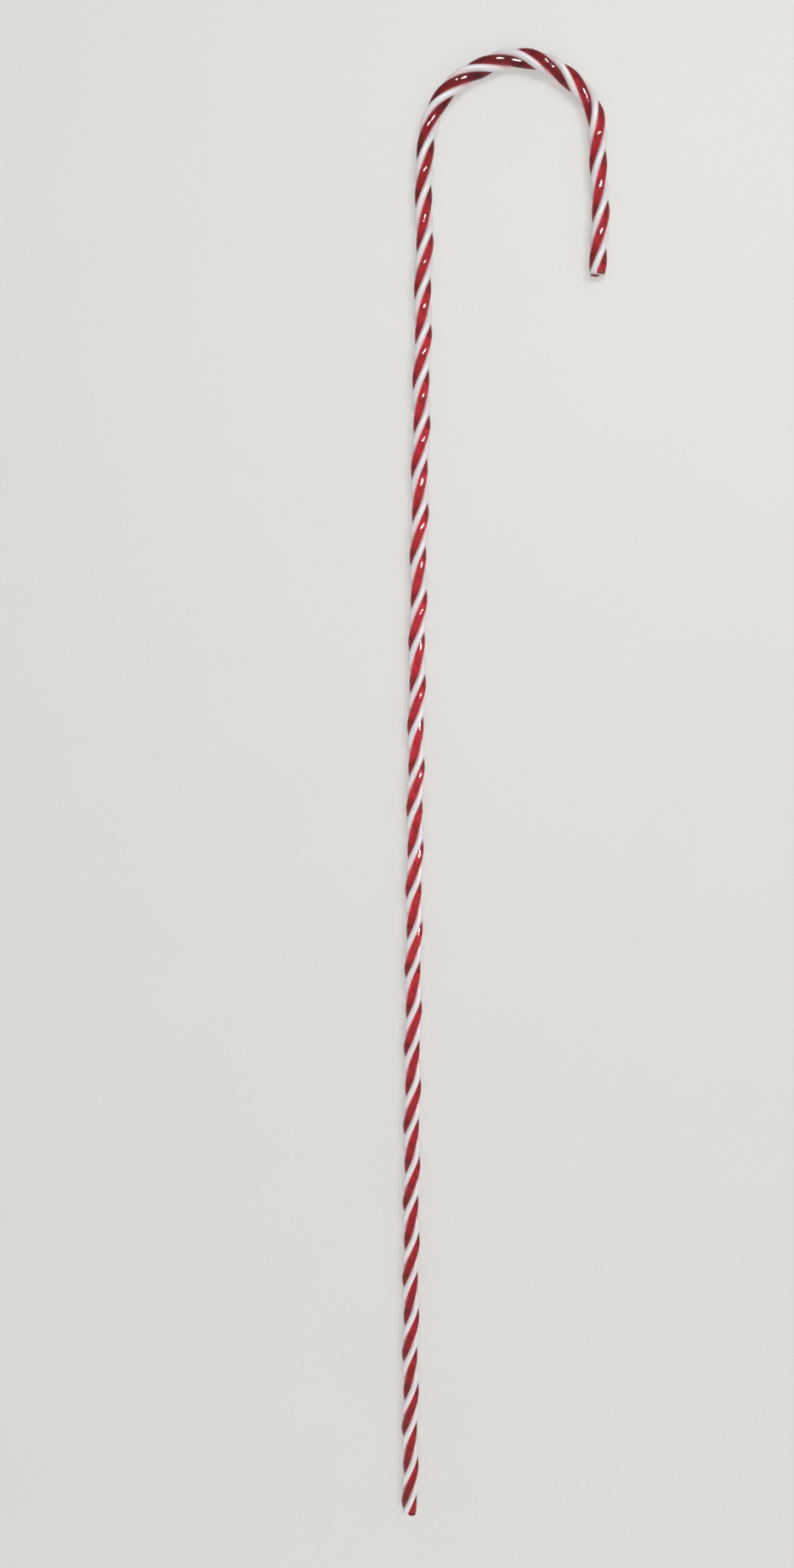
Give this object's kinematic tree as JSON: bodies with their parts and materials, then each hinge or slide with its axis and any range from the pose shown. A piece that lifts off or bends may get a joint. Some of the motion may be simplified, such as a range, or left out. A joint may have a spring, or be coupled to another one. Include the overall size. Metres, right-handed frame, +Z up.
{
  "type": "acrylic candy cane ornament",
  "caption": "Tall twisted candy cane decoration of clear red and opal white acrylic rods, bent into a crook at the top, lying on its back.",
  "frame": {"origin": "middle of the footprint of the cane lying on its back, on the floor", "axes": "+Y along the shaft from the sawn foot to the crook, +X towards the side the crook opens to, +Z up out of the shown side"},
  "size_m": [0.1536, 1.216, 0.0146],
  "materials": {
    "red_acrylic": "clear dyed acrylic, glossy as extruded",
    "white_acrylic": "opal white acrylic, glossy as extruded"
  },
  "bodies": {
    "root": {"red_rod_proud": "red_acrylic", "red_rod_sunk": "red_acrylic", "white_rod_left": "white_acrylic", "white_rod_right": "white_acrylic"}
  },
  "joints": []
}
